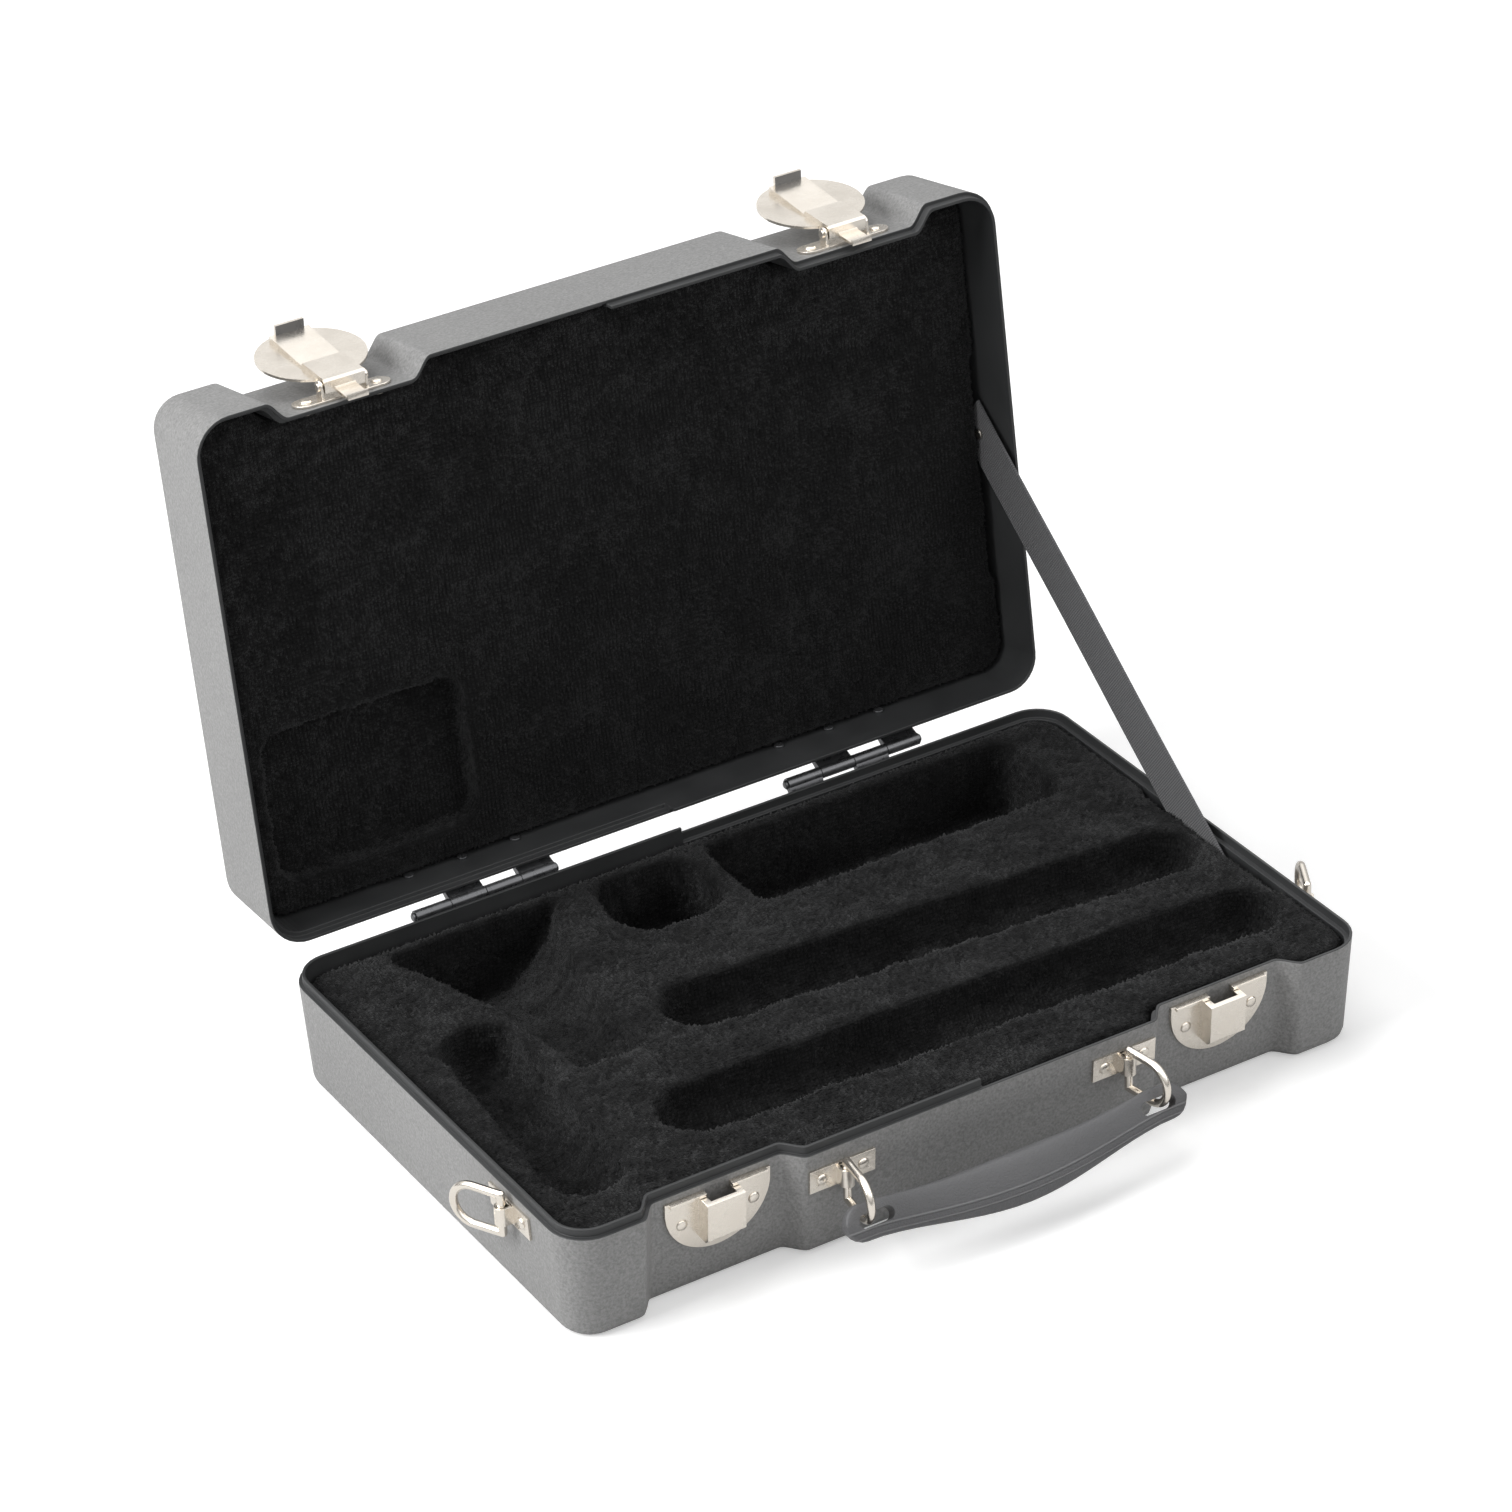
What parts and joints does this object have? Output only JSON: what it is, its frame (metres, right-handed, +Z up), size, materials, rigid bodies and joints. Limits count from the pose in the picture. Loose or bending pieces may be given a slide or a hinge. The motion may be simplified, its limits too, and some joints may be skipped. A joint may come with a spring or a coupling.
{
  "type": "clarinet case",
  "caption": "Hard moulded instrument case, shown open: hinged lid, plush lining with shaped hollows, lever latches, swinging handle, strap rings and a stay strap.",
  "frame": {"origin": "centre of the base's underside, on the surface that the case stands on", "axes": "+Z up, +X along the case towards its right end, +Y from the front wall with the latches towards the hinge wall"},
  "size_m": [0.3522, 0.3098, 0.2469],
  "materials": {
    "shell": "fine pebble grain",
    "plush": "short plush pile",
    "nickel": "polished nickel",
    "hinge_steel": "dark lacquered",
    "ribbon": "woven ribbon",
    "grip": "leather grain"
  },
  "bodies": {
    "base": {"base_shell": "shell", "base_lining_front": "plush", "base_lining_front_left": "plush", "base_lining_front_right": "plush", "base_lining_left": "plush", "base_lining_bell": "plush", "base_lining_middle": "plush", "base_lining_back": "plush", "base_lining_back_left": "plush", "base_lining_rear": "plush", "base_lining_rear_left": "plush", "base_hinge_leaf_left": "hinge_steel", "base_hinge_leaf_right": "hinge_steel", "hinge_pin_left": "hinge_steel", "hinge_pin_right": "hinge_steel", "base_hinge_rivets": "hinge_steel", "keeper_plate_left": "nickel", "keeper_plate_right": "nickel", "keeper_rivets": "nickel", "handle_bracket_left": "nickel", "handle_bracket_right": "nickel", "handle_bracket_rivets": "nickel", "end_ring_bracket_left": "nickel", "end_ring_bracket_right": "nickel", "end_ring_rivets": "nickel", "stay_strap": "ribbon", "strap_rivet_base": "nickel"},
    "lid": {"lid_shell": "shell", "lid_lining": "plush", "lid_hinge_leaf_left": "hinge_steel", "lid_hinge_leaf_right": "hinge_steel", "lid_hinge_rivets": "hinge_steel", "latch_bracket_left": "nickel", "latch_bracket_right": "nickel", "latch_bracket_rivets": "nickel", "latch_pin_left": "nickel", "latch_pin_right": "nickel", "strap_rivet_lid": "nickel"},
    "latch_lever_left": {"latch_lever_left": "nickel"},
    "latch_lever_right": {"latch_lever_right": "nickel"},
    "handle": {"handle_grip": "grip"},
    "handle_ring_left": {"handle_ring_left": "nickel"},
    "handle_ring_right": {"handle_ring_right": "nickel"},
    "end_ring_left": {"end_ring_left": "nickel"},
    "end_ring_right": {"end_ring_right": "nickel"}
  },
  "joints": [
    {"name": "lid_hinge", "type": "hinge", "parent": "base", "child": "lid", "pos_m": [0, 0.1045, 0.04215], "axis": [1, 0, 0], "range_deg": [0, 98], "deforming": ["stay_strap"]},
    {"name": "latch_left_lift", "type": "hinge", "parent": "lid", "child": "latch_lever_left", "pos_m": [-0.1024, 0.1387, 0.24133], "axis": [1, 0, 0], "range_deg": [-8, 9], "stiffness_Nm_per_rad": 0.3},
    {"name": "latch_right_lift", "type": "hinge", "parent": "lid", "child": "latch_lever_right", "pos_m": [0.1024, 0.1387, 0.24133], "axis": [1, 0, 0], "range_deg": [-8, 9], "stiffness_Nm_per_rad": 0.3},
    {"name": "handle_swing", "type": "hinge", "parent": "base", "child": "handle", "pos_m": [0, -0.11369, 0.029], "axis": [-1, 0, 0], "range_deg": [0, 140]},
    {"name": "handle_ring_left_swing", "type": "hinge", "parent": "base", "child": "handle_ring_left", "pos_m": [-0.0575, -0.1025, 0.029], "axis": [0, 0, 1], "range_deg": [0, 20]},
    {"name": "handle_ring_right_swing", "type": "hinge", "parent": "base", "child": "handle_ring_right", "pos_m": [0.0575, -0.1025, 0.029], "axis": [0, 0, -1], "range_deg": [0, 20]},
    {"name": "end_ring_left_swing", "type": "hinge", "parent": "base", "child": "end_ring_left", "pos_m": [-0.16567, -0.0595, 0.034], "axis": [0, 0, 1], "range_deg": [-26, 150]},
    {"name": "end_ring_right_swing", "type": "hinge", "parent": "base", "child": "end_ring_right", "pos_m": [0.16567, -0.0595, 0.034], "axis": [0, 0, -1], "range_deg": [-26, 150]}
  ]
}
